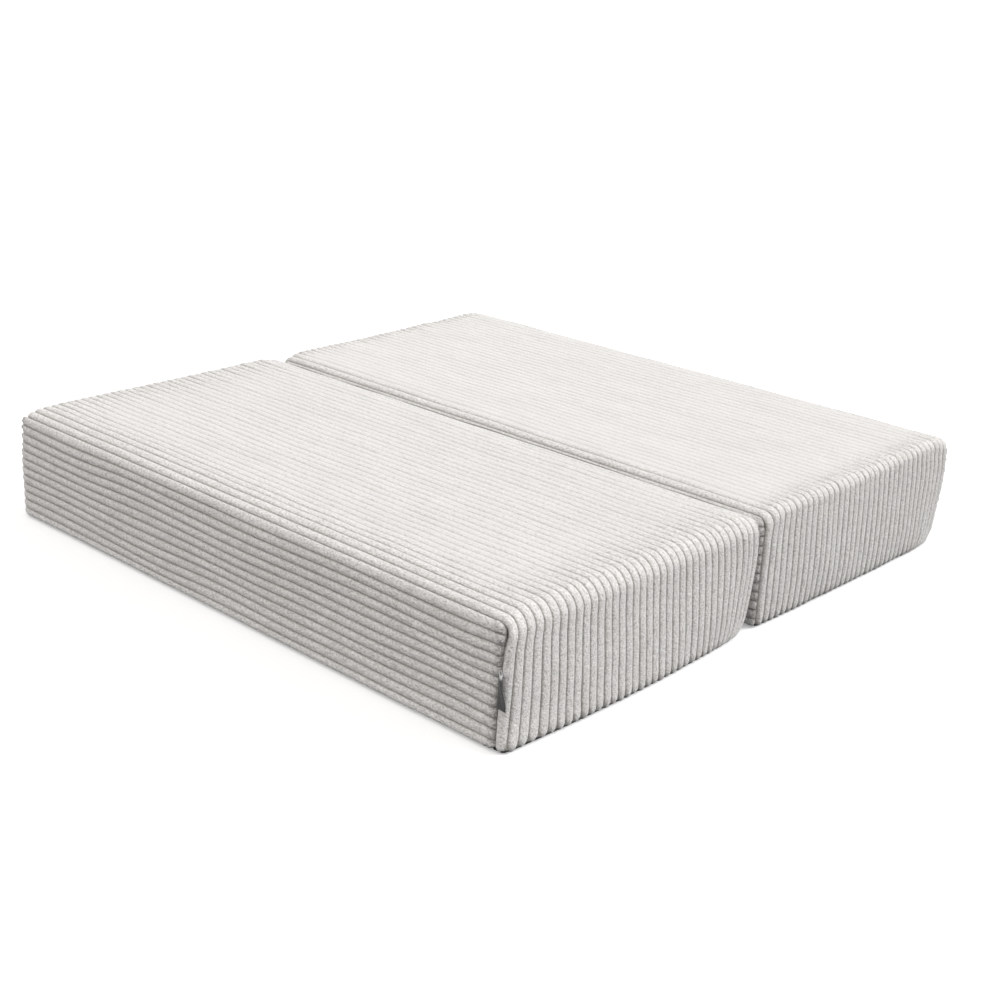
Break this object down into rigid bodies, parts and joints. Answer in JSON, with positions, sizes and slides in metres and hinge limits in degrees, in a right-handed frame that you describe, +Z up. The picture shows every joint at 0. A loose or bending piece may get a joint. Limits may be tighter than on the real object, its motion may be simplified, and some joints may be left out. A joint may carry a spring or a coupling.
{
  "type": "futon mattress",
  "caption": "Folding futon mattress: thick foam blocks in wide-wale corduroy covers, joined along their top edges so one folds over onto the other.",
  "frame": {"origin": "on the floor under the middle of the opened mattress", "axes": "+Z up, +X along the ribs and the fold line towards the end with the label, +Y from the front block to the rear block"},
  "size_m": [1.2009, 1.203, 0.205],
  "materials": {
    "corduroy": "matte",
    "base_cloth": "matte",
    "liner_knit": "matte",
    "firm_foam": "matte",
    "soft_foam": "matte",
    "wadding": "matte",
    "zip_tape": "matte",
    "zip_coil": "satin",
    "zip_metal": "satin",
    "label_satin": "satin"
  },
  "bodies": {
    "front_block": {"front_top_panel": "corduroy", "front_outer_side_panel": "corduroy", "front_inner_side_panel": "corduroy", "front_base_panel": "base_cloth", "front_liner": "liner_knit", "front_support_foam": "firm_foam", "front_comfort_foam": "soft_foam", "front_fibre_pad": "wadding", "front_zip_tape_upper": "zip_tape", "front_zip_tape_lower": "zip_tape", "front_zip_coil": "zip_coil", "front_zip_stops": "zip_metal", "hinge_strip": "corduroy", "corner_label": "label_satin"},
    "rear_block": {"rear_top_panel": "corduroy", "rear_outer_side_panel": "corduroy", "rear_inner_side_panel": "corduroy", "rear_base_panel": "base_cloth", "rear_liner": "liner_knit", "rear_support_foam": "firm_foam", "rear_comfort_foam": "soft_foam", "rear_fibre_pad": "wadding", "rear_zip_tape_upper": "zip_tape", "rear_zip_tape_lower": "zip_tape", "rear_zip_coil": "zip_coil", "rear_zip_stops": "zip_metal"},
    "front_slider": {"front_zip_slider": "zip_metal"},
    "front_pull": {"front_zip_pull": "zip_metal"},
    "rear_slider": {"rear_zip_slider": "zip_metal"},
    "rear_pull": {"rear_zip_pull": "zip_metal"}
  },
  "joints": [
    {"name": "fold_hinge", "type": "hinge", "parent": "front_block", "child": "rear_block", "pos_m": [0, 0, 0.209], "axis": [1, 0, 0], "range_deg": [0, 180]},
    {"name": "front_zip_slide", "type": "slide", "parent": "front_block", "child": "front_slider", "axis": [-1, 0, 0], "range_m": [0, 1.0594]},
    {"name": "front_pull_swing", "type": "hinge", "parent": "front_slider", "child": "front_pull", "pos_m": [0.5297, -0.01255, 0.04747], "axis": [0, -0.1882, -0.9821], "range_deg": [0, 180]},
    {"name": "rear_zip_slide", "type": "slide", "parent": "rear_block", "child": "rear_slider", "axis": [-1, 0, 0], "range_m": [0, 1.0594]},
    {"name": "rear_pull_swing", "type": "hinge", "parent": "rear_slider", "child": "rear_pull", "pos_m": [0.5297, 0.59045, 0.04747], "axis": [0, -0.1882, -0.9821], "range_deg": [0, 180]}
  ]
}
